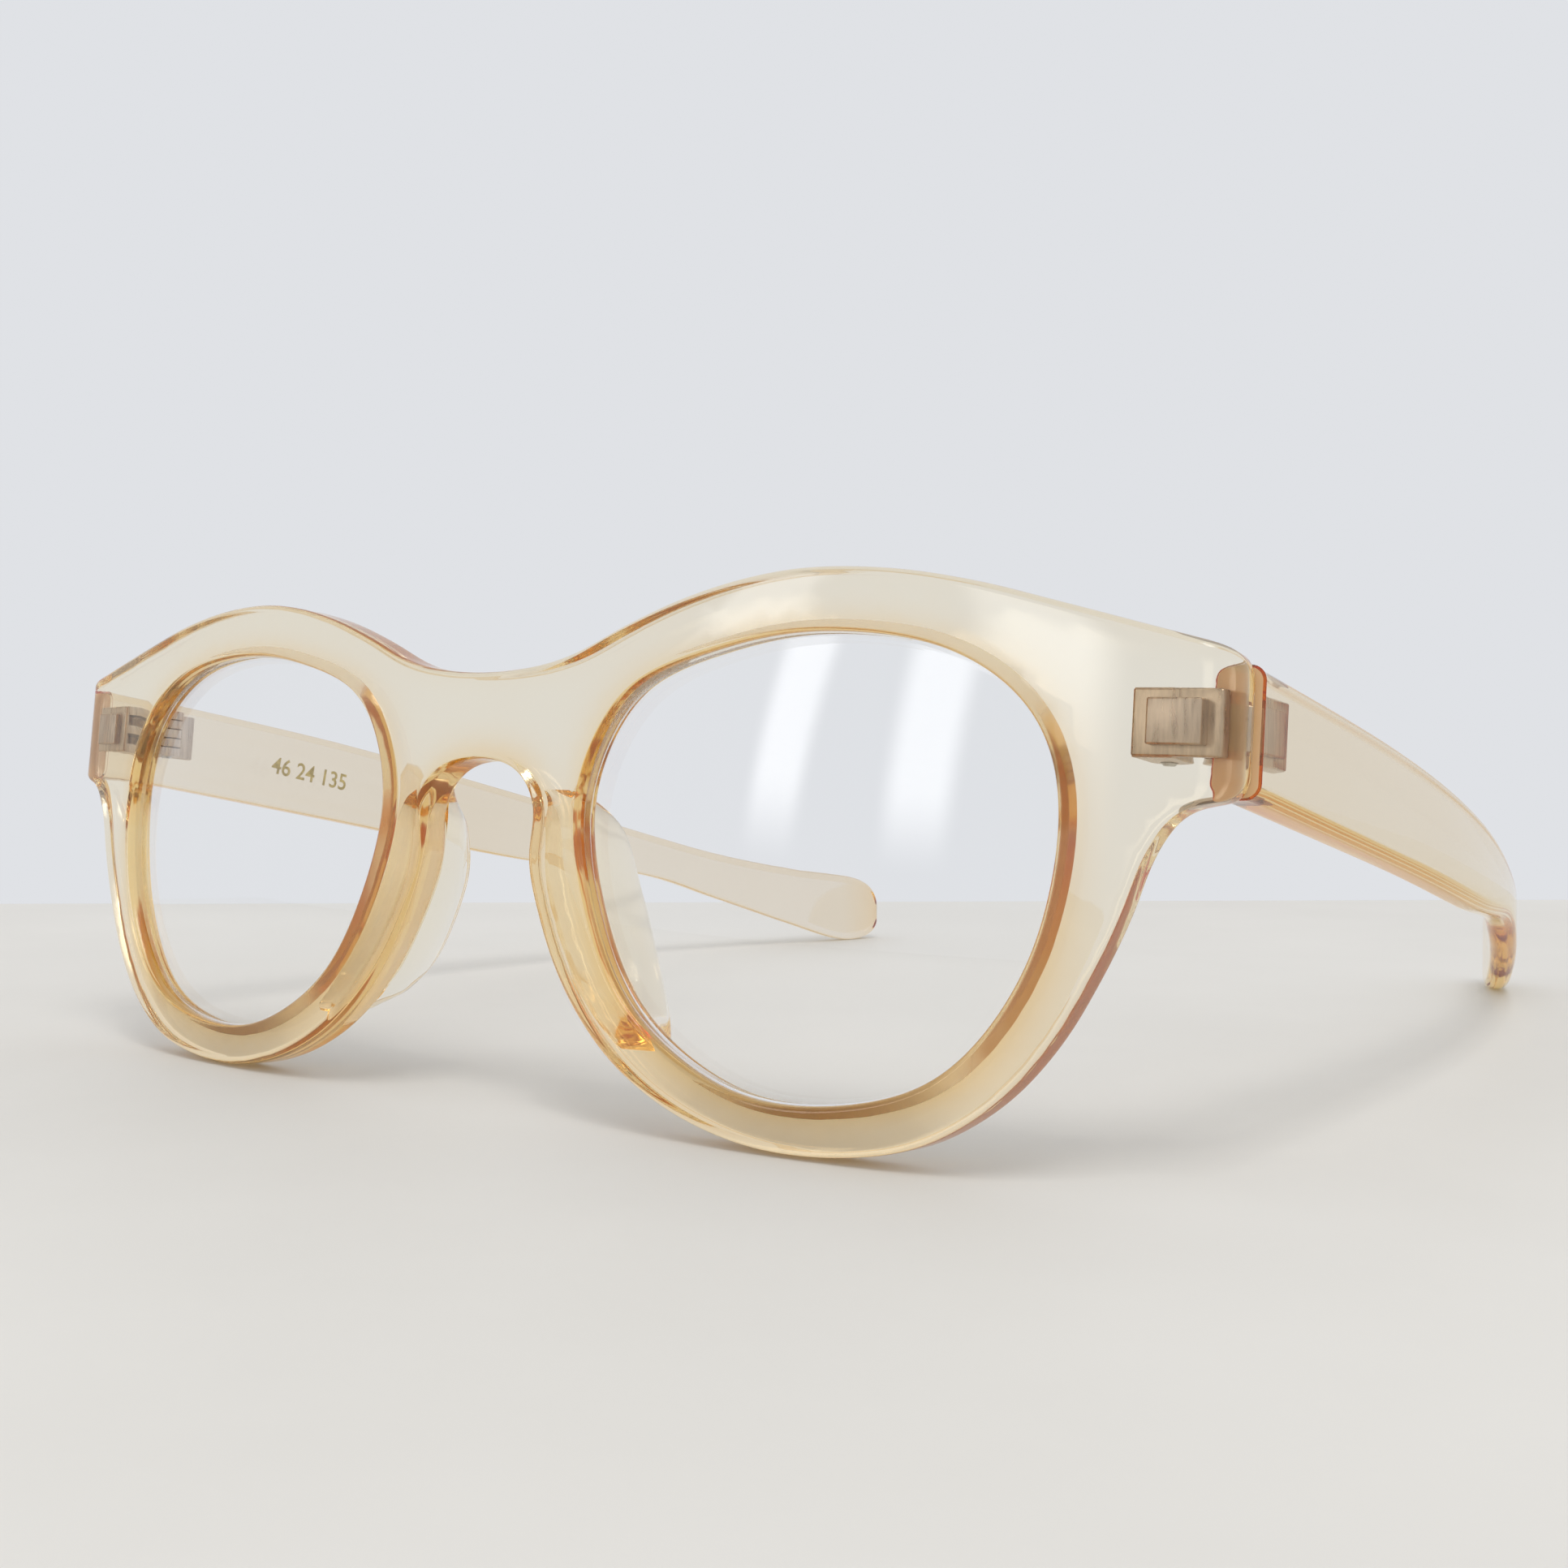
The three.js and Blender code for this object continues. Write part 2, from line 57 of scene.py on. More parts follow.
THICKNESS = 4.0
EDGE_RADIUS = 0.8
BOW = 0.00108
LEAN = math.radians(6.3)
CORNER_RADIUS = 3.2
LOWER_OUTLINE = [
    (0, 31.2), (4.6, 30.2), (7.2, 27), (7, 22.5), (8.3, 18.4), (11.2, 12.8), (15.2, 8),
    (20, 4.4), (26, 1.8), (33, 0.4), (40.5, 0.6), (47.3, 2.2), (53, 5.8), (57.2, 10.6),
    (60.2, 16), (62.2, 20.6), (63.6, 24.8), (65.6, 27.9), (68, 28.8), (69.6, 28.9),
]
END_EDGE = [(70.2, 29.6), (70.2, 39.3)]
BROW_OUTLINE = [
    (69.6, 39.9), (62.2, 41.9), (55.9, 43.6), (49.3, 45.3), (42.3, 46.5), (35, 46.9),
    (28.7, 46.3), (22.2, 44.8), (16.2, 42.7), (10.9, 40.5), (6, 39.4), (0, 39),
]
OUTLINE_STEP = 0.4
OUTLINE_SOFTNESS = 1.0
FACE_STEP = 1.4
SHARP_ANGLE = math.radians(35)  # edges that turn by more than this are shaded as sharp

LENS_ACROSS = 35.0
LENS_UP = 23.0
LENS_THICKNESS = 1.8
LENS_BOW_ACROSS = 0.0055
LENS_BOW_UP = 0.0077
LENS_EDGE_DEPTH = 2.1
LENS_BEVEL = 0.75
LENS_INSET = 0.1
LENS_POINTS = 260
LENS_SOFTNESS = 3  # in points of the outline
LENS_OUTLINE = [
    (22.2, 4.2), (19.8, 12), (12.6, 17), (2, 18.7), (-8, 17.6), (-18, 13.9), (-22.5, 5.5),
    (-20.9, -3.8), (-15.6, -12.6), (-6, -18), (4, -18.6), (13.8, -15.3), (20.2, -6.7),
]
PAINTED_GLOW_REACH = 1.3  # how far the painted amber glow of an edge shows into the faces beside it
GROOVE_DEPTH = 1.1
GROOVE_HALF_WIDTH = 1.25
LIP_RADIUS = 0.55
MATT_LIP = 0.2  # how far out on its rounded lips an opening's matt wall, painted with an amber glow, goes on

# Down a nose pad: up, nose side across, lens side across, ridge across, ridge depth.
PAD_STATIONS = [
    (28.6, 6.7, 9.6, 8.2, 4.9), (27.4, 7.3, 11.2, 9.4, 7.1), (25, 7.3, 12.3, 10.3, 9.6),
    (20, 7.9, 13.5, 11.4, 11), (13, 11.3, 17.2, 14.3, 10.8), (9.2, 14.4, 20, 16.8, 9.2),
    (7.4, 16.6, 21.6, 18.7, 6.6), (6.8, 17.6, 21.4, 19.4, 4.7),
]
PAD_RIDGE_WIDTH = 1.6
PAD_BOND = 0.06  # how far a pad is sunk into the front it is bonded to

# Along a temple: back from the end piece, top and bottom above the table.
TEMPLE_STATIONS = [
    (0, 38.1, 28.3), (31, 32.2, 22.1), (62, 24.9, 15.8), (84, 18.8, 12.5), (98, 15, 8.1),
    (111, 12.2, 3.55), (121, 10.6, 0.24), (128, 9.4, 0.1),
]
TEMPLE_OUTSIDE = 70.2
TEMPLE_TAPER = 0.026
TEMPLE_STRAIGHT = 36.0
TEMPLE_CURL = 16.0
TEMPLE_CURL_POWER = 2.2
TEMPLE_LENGTH = 128.0
TEMPLE_THICKNESS = 4.0
TEMPLE_TIP_THICKNESS = 2.8
TEMPLE_EDGE_RADIUS = 1.2
TEMPLE_TIP_FROM = 0.867  # share of the way through the stations where the end starts to round
TEMPLE_TIP_POWER = 2.5  # 2 would make the rounded end elliptical, more makes it squarer
TEMPLE_TIP_DROP = 0.2  # how far its rounding is kept to the top
TEMPLE_TIP_END = 0.97  # how far through its rounding the end is closed
TEMPLE_RINGS = 150  # from the butt to the rounded end
TEMPLE_TIP_RINGS = 22
TEMPLE_CORNER_POINTS = 9  # in each rounded corner of a temple's section
TEMPLE_BUTT_BEVEL = 0.18
BUTT_GAP = 0.15  # between an open temple and the front

HINGE_ACROSS = 63.3
HINGE_UP = 34.7
HINGE_BEHIND = 4.0
KNUCKLES = 5
HINGE_HEIGHT = 5.2
KNUCKLE_GAP = 0.08
KNUCKLE_RIM = 0.1  # radius of a knuckle's rounded rims
ARM_OVERLAP = 0.5  # how far a knuckle's arm runs into its plate
BARREL_RADIUS = 1.5
BORE_RADIUS = 0.68
TURNED_SIDES = 64
PLATE_HEIGHT = 5.0
PLATE_BEVEL = 0.18
ANCHOR_HEIGHT = 3.4
ANCHOR_BEVEL = 0.15
FRONT_PLATE = ((-1.5, 4.6), (-5, -3.95))
FRONT_ANCHOR = ((-0.2, 3.8), (-6.4, -4.9))
TEMPLE_PLATE = ((2.8, 3.9), (-1.8, 5.2))
TEMPLE_ANCHOR = ((3.8, 5.1), (-0.6, 4))
SCREW_RADIUS = 0.61
SCREW_HEAD_RADIUS = 1.08
SCREW_HEAD_HEIGHT = 0.45
SCREW_SLOT = (0.3, 0.22)  # width and depth
COUNTERBORE = 1.18

PRINT_TEXT = "46 24 135"
PRINT_FROM = 19.5  # back from the end piece
PRINT_LENGTH = 11.5
PRINT_HEIGHT = 2.1
PRINT_LIFT = 0.012

# ---------------------------------------------------------------- camera

# The camera stands in front of the glasses on the wearer's left, just above the table.
EYE = (0.122763, -0.185314, 0.032887)
HEADING = math.radians(36.793)
LOOKS_DOWN = math.radians(1.414)
ROLL = math.radians(-0.146)


def make_camera():
    data = bpy.data.cameras.new("camera")
    data.sensor_width = 36
    data.lens = 42.86
    data.clip_start = 0.01
    camera = bpy.data.objects.new("camera", data)
    turn = Matrix.Rotation(HEADING, 4, "Z")
    tip = Matrix.Rotation(math.radians(90) - LOOKS_DOWN, 4, "X")
    roll = Matrix.Rotation(ROLL, 4, "Z")
    camera.matrix_world = Matrix.Translation(EYE) @ turn @ tip @ roll
    bpy.context.scene.collection.objects.link(camera)
    bpy.context.scene.camera = camera


# ---------------------------------------------------------------- curves


def catmull(points, at):
    """Points at parameters 0 to 1 along a uniform Catmull-Rom spline with doubled ends."""
    points = np.asarray(points, float)
    last = len(points) - 1
    place = np.clip(np.asarray(at, float) * last, 0, last - 1e-9)
    i = place.astype(int)
    w = (place - i)[:, None]
    before, start = points[np.maximum(i - 1, 0)], points[i]
    end, after = points[np.minimum(i + 1, last)], points[np.minimum(i + 2, last)]
    leave, arrive = (end - before) / 2, (after - start) / 2
    cubic = 2 * (start - end) + leave + arrive
    square = 3 * (end - start) - 2 * leave - arrive
    return ((cubic * w + square) * w + leave) * w + start


def resample(loop, count):
    """The closed loop as evenly spaced points."""
    closed = np.vstack([loop, loop[:1]])
    steps = np.linalg.norm(np.diff(closed, axis=0), axis=1)
    reach = np.concatenate([[0], np.cumsum(steps)])
    at = np.linspace(0, reach[-1], count, endpoint=False)
    return np.column_stack([np.interp(at, reach, closed[:, k]) for k in range(2)])


def soften(loop, spread):
    """Rounds a closed loop's corners by a Gaussian, its spread given in points."""
    steps = np.arange(-int(4 * spread), int(4 * spread) + 1)
    weights = np.exp(-(steps**2) / (2 * spread**2))
    weights /= weights.sum()
    return sum(weight * np.roll(loop, -step, axis=0) for step, weight in zip(steps, weights))


def outward(loop):
    """Unit vectors that point out of an anticlockwise loop."""
    along = np.roll(loop, -1, axis=0) - np.roll(loop, 1, axis=0)
    along /= np.linalg.norm(along, axis=1)[:, None]
    return np.column_stack([along[:, 1], -along[:, 0]])


def quarter_round(radius, steps):
    """A quarter circle from a face to a wall, as (distance from the wall, depth) pairs."""
    angles = np.linspace(0, math.pi / 2, steps + 1)
    return [(radius * (1 - math.sin(a)), radius * (1 - math.cos(a))) for a in angles]


def frame_outline():
    lower = [(-x, y) for x, y in LOWER_OUTLINE[:0:-1]] + LOWER_OUTLINE
    brow = BROW_OUTLINE + [(-x, y) for x, y in BROW_OUTLINE[-2::-1]]
    right_edge = [(-x, y) for x, y in END_EDGE[::-1]]
    fine = np.linspace(0, 1, 600)
    loop = np.vstack([catmull(lower, fine), END_EDGE, catmull(brow, fine), right_edge])
    length = np.linalg.norm(np.roll(loop, -1, axis=0) - loop, axis=1).sum()
    count = int(length / OUTLINE_STEP)
    return soften(resample(loop, count), OUTLINE_SOFTNESS / OUTLINE_STEP)


def lens_outline():
    """The opening in a rim, about the lens centre, anticlockwise."""
    closed = LENS_OUTLINE[-2:] + LENS_OUTLINE + LENS_OUTLINE[:3]
    last = len(closed) - 1
    fine = np.linspace(2 / last, 1 - 2 / last, 800, endpoint=False)
    return soften(resample(catmull(closed, fine), LENS_POINTS), LENS_SOFTNESS)


def lens_opening(side):
    loop = lens_outline()
    if side < 0:
        loop = loop[::-1] * (-1, 1)
    return loop + (side * LENS_ACROSS, LENS_UP)


# ---------------------------------------------------------------- the front's own space


def on_front(across, up, depth):
    """Points of the flat drawing, once the front is bowed and leant back."""
    across, up, depth = (np.asarray(v, float) for v in (across, up, depth))
    slope = 2 * BOW * across
    stretch = np.hypot(1, slope)
    back = BOW * across**2 + depth / stretch
    x = across - depth * slope / stretch
    y = back * math.cos(LEAN) + up * math.sin(LEAN)
    z = up * math.cos(LEAN) - back * math.sin(LEAN)
    return np.stack([x, y, z], axis=-1)


def back_at_depth(x, z, depth):
    """Where a line along +Y, at x and z, passes a depth behind the front face."""
    stretch = np.hypot(1, 2 * BOW * x)
    return (BOW * x**2 + depth * stretch + z * math.sin(LEAN)) / math.cos(LEAN)


def round_end_corners(across, depth):
    """Squeezes the depth near the ends, where the upright front corners are rounded."""
    over = np.clip(np.abs(across) - (END_EDGE[0][0] - CORNER_RADIUS), 0, CORNER_RADIUS * 0.995)
    sunk = CORNER_RADIUS - np.sqrt(CORNER_RADIUS**2 - over**2)
    return sunk + depth * (THICKNESS - sunk) / THICKNESS


# ---------------------------------------------------------------- meshes


def crossings(points, loop):
    """True for each point inside the closed loop."""
    x, y = points[:, 0:1], points[:, 1:2]
    x0, y0 = loop[:, 0], loop[:, 1]
    x1, y1 = np.roll(x0, -1), np.roll(y0, -1)
    spans = (y0 > y) != (y1 > y)
    rise = np.where(y1 == y0, 1e-12, y1 - y0)
    return (spans & (x < x0 + (y - y0) * (x1 - x0) / rise)).sum(axis=1) % 2 == 1


def fill(outer, holes):
    """Fills between an outline and its holes: points, the loops' first, and triangles."""
    loops = [outer, *holes]
    border = np.vstack(loops)
    low, high = outer.min(axis=0), outer.max(axis=0)
    corner_from = END_EDGE[0][0] - CORNER_RADIUS - 1
    columns = np.arange(-corner_from, corner_from, FACE_STEP)
    ends = np.arange(corner_from, high[0], FACE_STEP / 4)
    columns = np.concatenate([-ends, columns, ends])
    rows = np.arange(low[1], high[1], FACE_STEP)
    grid = np.array([(x, y + (i % 2) * FACE_STEP / 2) for i, x in enumerate(columns) for y in rows])
    away = np.array([np.min(np.sum((border - p) ** 2, axis=1)) for p in grid])
    grid = grid[away > (FACE_STEP * 0.45) ** 2]
    keep = crossings(grid, outer)
    for hole in holes:
        keep &= ~crossings(grid, hole)
    points = np.vstack([border, grid[keep]])
    edges = []
    start = 0
    for loop in loops:
        count = len(loop)
        edges += [(start + i, start + (i + 1) % count) for i in range(count)]
        start += count
    made = delaunay_2d_cdt([Vector(p) for p in points], edges, [], 0, 1e-7)
    place = np.array([v[:] for v in made[0]])
    triangles = np.array(made[2])
    middle = place[triangles].mean(axis=1)
    inside = crossings(middle, outer)
    for hole in holes:
        inside &= ~crossings(middle, hole)
    order = {source: i for i, sources in enumerate(made[3]) for source in sources}
    return place, triangles[inside], [order[i] for i in range(len(border))]


def strip(first, second):
    """Quads between two closed loops of vertex numbers."""
    count = len(first)
    pairs = [(i, (i + 1) % count) for i in range(count)]
    return [(first[a], first[b], second[b], second[a]) for a, b in pairs]


def loft(rings):
    """A closed skin over rings of equal length, with a fan at each end."""
    rings = np.asarray(rings, float)
    count = rings.shape[1]
    points = list(rings.reshape(-1, 3))
    loops = [range(i * count, (i + 1) * count) for i in range(len(rings))]
    faces = [face for a, b in zip(loops, loops[1:]) for face in strip(a, b)]
    for ring in (0, len(rings) - 1):
        hub = len(points)
        points.append(rings[ring].mean(axis=0))
        loop = loops[ring]
        faces += [(hub, loop[i], loop[(i + 1) % count]) for i in range(count)]
    return np.array(points), faces


def to_mesh(name, points, faces, matt=(), amber=None):
    """A mesh in metres with its normals out.

    The matt faces, given by number, get its second material. Amber is how strongly each point
    shows the painted amber glow that stands in for light gathered along an edge, 0 to 1.
    """
    mesh = bpy.data.meshes.new(name)
    mesh.from_pydata([tuple(p) for p in np.asarray(points) * MM], [], faces)
    for number in matt:
        mesh.polygons[number].material_index = 1
    # The amber attribute is painted glow, colour that stands in for light gathered along the edges.
    if amber is not None:
        mesh.attributes.new("amber", "FLOAT", "POINT").data.foreach_set("value", amber)
    bm = bmesh.new()
    bm.from_mesh(mesh)
    bmesh.ops.recalc_face_normals(bm, faces=bm.faces)
    bm.to_mesh(mesh)
    bm.free()
    smooth(mesh)
    return mesh


def smooth(mesh):
    mesh.polygons.foreach_set("use_smooth", [True] * len(mesh.polygons))
    mesh.set_sharp_from_angle(angle=SHARP_ANGLE)
    mesh.update()


def mirrored(mesh, name):
    copy = mesh.copy()
    copy.name = name
    copy.transform(Matrix.Scale(-1, 4, (1, 0, 0)))
    copy.flip_normals()
    return copy


def moved(mesh, matrix):
    mesh.transform(matrix)
    return mesh


def add_piece(name, mesh, looks, body, node, slot):
    """Adds a piece that takes the place of a CAD node, with the materials of its slot."""
    numbers = [polygon.material_index for polygon in mesh.polygons]
    mesh.materials.clear()
    for material in looks[slot]:
        mesh.materials.append(material)
    mesh.polygons.foreach_set("material_index", numbers)
    piece = bpy.data.objects.new(name, mesh)
    bpy.context.scene.collection.objects.link(piece)
    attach(piece, body)
    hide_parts(node)


# ---------------------------------------------------------------- front


def fade(value, start, end):
    """1 up to the start, 0 past the end, smooth in between."""
    part = np.clip((np.asarray(value, float) - start) / (end - start), 0, 1)
    return 1 - part * part * (3 - 2 * part)


def front_painted_glow(flat, loops):
    """The painted amber glow at flat points of the front: most along its lower and nasal edges."""
    gaps = [np.linalg.norm(flat[:, None] - loop[None], axis=2).min(axis=1) for loop in loops]
    across, up = np.abs(flat[:, 0]), flat[:, 1]
    # The painted glow is stronger towards the bottom of the front.
    low = fade(up, 6, 30)
    nasal = fade(across, 9, 16) * fade(up, 33, 38)
    lower_edge = 0.6 * low * fade(across, 44, 58)
    outline = np.exp(-gaps[0] / PAINTED_GLOW_REACH) * np.maximum(0.1 + lower_edge, 0.7 * nasal)
    reach = PAINTED_GLOW_REACH * (1 + low)
    rims = np.exp(-np.minimum(*gaps[1:]) / reach) * (0.6 + 0.4 * low)
    return np.maximum(outline, rims)


def front_points():
    """The front, drawn flat.

    Its points are across, up and depth; after them and the faces come the numbers of the
    faces in the rims' openings, and how strongly each point shows the painted amber glow.
    """
    rounding = quarter_round(EDGE_RADIUS, 7)
    wall = [(0, d) for d in np.linspace(EDGE_RADIUS, THICKNESS - EDGE_RADIUS, 5)[1:-1]]
    back_rounding = [(out, THICKNESS - d) for out, d in rounding[::-1]]
    edge_profile = [(-out, d) for out, d in rounding + wall + back_rounding]

    lip = quarter_round(LIP_RADIUS, 5)
    groove = [
        (0, LENS_EDGE_DEPTH - GROOVE_HALF_WIDTH),
        (GROOVE_DEPTH, LENS_EDGE_DEPTH),
        (0, LENS_EDGE_DEPTH + GROOVE_HALF_WIDTH),
    ]
    back_lip = [(out, THICKNESS - d) for out, d in lip[::-1]]
    rim_profile = lip + groove + back_lip

    outlines = [(frame_outline(), edge_profile)]
    outlines += [(lens_opening(side), rim_profile) for side in (1, -1)]
    first = [loop + outward(loop) * profile[0][0] for loop, profile in outlines]
    flat, triangles, border = fill(first[0], first[1:])
    count = len(flat)
    points = [np.column_stack([flat, np.zeros(count)])]
    points.append(np.column_stack([flat, np.full(count, THICKNESS)]))
    loops = [loop for loop, _ in outlines]
    amber = [front_painted_glow(flat, loops)] * 2
    faces = [tuple(t) for t in triangles]
    faces += [tuple(t + count) for t in triangles[:, ::-1]]
    walls = []
    total = 2 * count
    start = 0
    for loop, profile in outlines:
        size = len(loop)
        front_ring = border[start : start + size]
        start += size
        previous, last_out = front_ring, 1
        for out, depth in profile[1:-1]:
            moved_loop = loop + outward(loop) * out
            points.append(np.column_stack([moved_loop, np.full(size, depth)]))
            amber.append(front_painted_glow(moved_loop, loops))
            ring = range(total, total + size)
            total += size
            if profile is rim_profile and min(out, last_out) < MATT_LIP:
                walls += range(len(faces), len(faces) + size)
            faces += strip(previous, ring)
            previous, last_out = ring, out
        faces += strip(previous, [v + count for v in front_ring])
    return np.vstack(points), faces, walls, np.concatenate(amber)


def front_mesh():
    points, faces, walls, amber = front_points()
    depth = round_end_corners(points[:, 0], points[:, 2])
    return on_front(points[:, 0], points[:, 1], depth), faces, walls, amber


# ---------------------------------------------------------------- lens and nose pad


def lens_rings():
    outline = lens_outline()
    body = outline - outward(outline) * LENS_INSET

    def sag(loop):
        return (LENS_BOW_ACROSS * loop[:, 0] ** 2 + LENS_BOW_UP * loop[:, 1] ** 2) / 2

    middle = LENS_EDGE_DEPTH - LENS_BOW_ACROSS * outline[:, 0].max() ** 2 / 2
    half = LENS_THICKNESS / 2
    faces = []
    for sign in (-1, 1):
        scales = np.concatenate([np.linspace(0.03, 0.99, 24), [1]])
        rings = []
        for scale in scales:
            loop = body * scale
            depth = middle + sag(loop) + sign * half
            rings.append(on_front(LENS_ACROSS + loop[:, 0], LENS_UP + loop[:, 1], depth))
        faces.append(rings)
    ridge_loop = outline + outward(outline) * LENS_BEVEL
    ridge = on_front(
        LENS_ACROSS + ridge_loop[:, 0],
        LENS_UP + ridge_loop[:, 1],
        np.full(len(outline), LENS_EDGE_DEPTH),
    )
    return [*faces[0], ridge, *faces[1][::-1]]


def pad_rings():
    """One pad: a wedge on the back of the nasal rim, with a rounded ridge."""
    base = THICKNESS - PAD_BOND
    rings = []
    for up, nose, lens_side, across, depth in catmull(PAD_STATIONS, np.linspace(0, 1, 90)):
        rise = depth - base
        width = min(PAD_RIDGE_WIDTH, (lens_side - across) * 0.7)
        section = [
            (nose, base),
            (nose + (across - nose) * 0.35, base + rise * 0.5),
            (across - 0.4, base + rise * 0.86),
            (across + width * 0.3, depth),
            (across + width, base + rise * 0.86),
            (across + width + (lens_side - across - width) * 0.4, base + rise * 0.45),
            (lens_side, base),
        ]
        curve = catmull(section, np.linspace(0, 1, 37))
        under = np.linspace(curve[-1], curve[0], 8)[1:-1]
        loop = np.vstack([curve, under])
        rings.append(on_front(loop[:, 0], np.full(len(loop), up), loop[:, 1]))
    return rings


# ---------------------------------------------------------------- temple


def temple_section(half_thickness, half_height, radius):
    """A rounded rectangle, as outwards and up from its middle."""
    points = []
    for quarter, (x, y) in enumerate([(1, 1), (-1, 1), (-1, -1), (1, -1)]):
        for step in np.linspace(0, 1, TEMPLE_CORNER_POINTS):
            angle = (quarter + step) * math.pi / 2
            out = x * (half_thickness - radius) + radius * math.cos(angle)
            up = y * (half_height - radius) + radius * math.sin(angle)
            points.append((out, up))
    return np.array(points)


def temple_outside(back):
    bent = max(0, (back - TEMPLE_STRAIGHT) / (TEMPLE_LENGTH - TEMPLE_STRAIGHT))
    return TEMPLE_OUTSIDE - TEMPLE_TAPER * back - TEMPLE_CURL * bent**TEMPLE_CURL_POWER


def temple_thickness(back):
    return TEMPLE_THICKNESS + (TEMPLE_TIP_THICKNESS - TEMPLE_THICKNESS) * back / TEMPLE_LENGTH


def temple_start(table):
    """How far back the temples begin, at the middle of the outer face."""
    middle = table + (TEMPLE_STATIONS[0][1] + TEMPLE_STATIONS[0][2]) / 2
    return float(back_at_depth(TEMPLE_OUTSIDE, middle, THICKNESS + BUTT_GAP))


def temple_ring(part, start, table, shrink=1, drop=0, trim=0):
    """The temple's section at a share of the way through its stations.

    The rounded end's are shrunk and dropped, and the butt's are trimmed all round.
    """
    back, top, bottom = catmull(TEMPLE_STATIONS, [part])[0]
    slope = temple_outside(back + 0.5) - temple_outside(back - 0.5)
    away = Vector((1, -slope)).normalized()
    thickness = temple_thickness(back)
    height = top - bottom
    half_thickness = thickness / 2 * (0.35 + 0.65 * shrink)
    half_height = height / 2 * shrink
    radius = min(TEMPLE_EDGE_RADIUS, half_thickness * 0.8, half_height * 0.8)
    section = temple_section(half_thickness - trim, half_height - trim, radius - trim)
    out = section[:, 0] - thickness / 2
    x = temple_outside(back) + out * away.x
    y = start + back + out * away.y
    z = table + bottom + height / 2 - height / 2 * drop + section[:, 1]
    return np.column_stack([x, y, z])


def temple_rings(table):
    butt = THICKNESS + BUTT_GAP
    start = temple_start(table)
    rings = []
    for trim in (TEMPLE_BUTT_BEVEL, TEMPLE_BUTT_BEVEL * 0.3, 0):
        ring = temple_ring(0, start, table, trim=trim)
        sunk = TEMPLE_BUTT_BEVEL - math.sqrt(TEMPLE_BUTT_BEVEL**2 - trim**2)
        ring[:, 1] = back_at_depth(ring[:, 0], ring[:, 2], butt + TEMPLE_BUTT_BEVEL - sunk)
        rings.append(ring)
    rings[0][:, 1] = back_at_depth(rings[0][:, 0], rings[0][:, 2], butt)
    for part in np.linspace(0.01, TEMPLE_TIP_FROM, TEMPLE_RINGS, endpoint=False):
        rings.append(temple_ring(part, start, table))
    for angle in np.linspace(0, math.asin(TEMPLE_TIP_END), TEMPLE_TIP_RINGS):
        turn = math.sin(angle)
        shrink = (1 - turn**TEMPLE_TIP_POWER) ** (1 / TEMPLE_TIP_POWER)
        part = TEMPLE_TIP_FROM + turn * (1 - TEMPLE_TIP_FROM)
        rings.append(temple_ring(part, start, table, shrink, (1 - shrink) * TEMPLE_TIP_DROP))
    return rings


def end_faces(rings):
    """The numbers of the faces that loft gives the first ring's fan."""
    count = len(rings[0])
    first = (len(rings) - 1) * count
    return range(first, first + count)


def temple_painted_glow(rings):
    """The painted amber glow at a temple's points: along its lower edge, less along the upper one.
    """
    around = np.arange(len(rings[0]))
    middle_top = TEMPLE_CORNER_POINTS - 0.5
    middle_bottom = 3 * TEMPLE_CORNER_POINTS - 0.5
    top = np.clip(1 - np.abs(around - middle_top) / 5, 0, 1)
    bottom = np.clip(1 - np.abs(around - middle_bottom) / 5, 0, 1)
    edges = 0.4 * top + 0.9 * bottom
    plain = np.zeros(len(rings) - TEMPLE_TIP_RINGS)
    ends = np.concatenate([plain, np.linspace(0, 0.5, TEMPLE_TIP_RINGS)])
    amber = np.maximum(edges[None], ends[:, None])
    return np.concatenate([amber.ravel(), [0, ends[-1]]])


# ---------------------------------------------------------------- hinge


def block(span, height, bevel):
    """A block with rounded edges between two pairs in plan, centred on z = 0."""
    (x0, x1), (y0, y1) = span
    bm = bmesh.new()
    bmesh.ops.create_cube(bm, size=1)
    middle = Matrix.Translation(((x0 + x1) / 2, (y0 + y1) / 2, 0))
    sized = middle @ Matrix.Diagonal((x1 - x0, y1 - y0, height, 1))
    bmesh.ops.transform(bm, matrix=sized, verts=bm.verts)
    bmesh.ops.bevel(bm, geom=bm.edges, offset=bevel, segments=3, profile=0.5, affect="EDGES")
    mesh = bpy.data.meshes.new("block")
    bm.to_mesh(mesh)
    bm.free()
    return mesh


def turned(profile):
    """A turned solid from (radius, height) pairs, its ends closed, left in millimetres."""
    angles = np.linspace(0, 2 * math.pi, TURNED_SIDES, endpoint=False)
    rings = [
        np.column_stack([r * np.cos(angles), r * np.sin(angles), np.full(TURNED_SIDES, z)])
        for r, z in profile
    ]
    points, faces = loft(rings)
    mesh = to_mesh("turned", points, faces)
    mesh.transform(Matrix.Scale(1 / MM, 4))
    return mesh


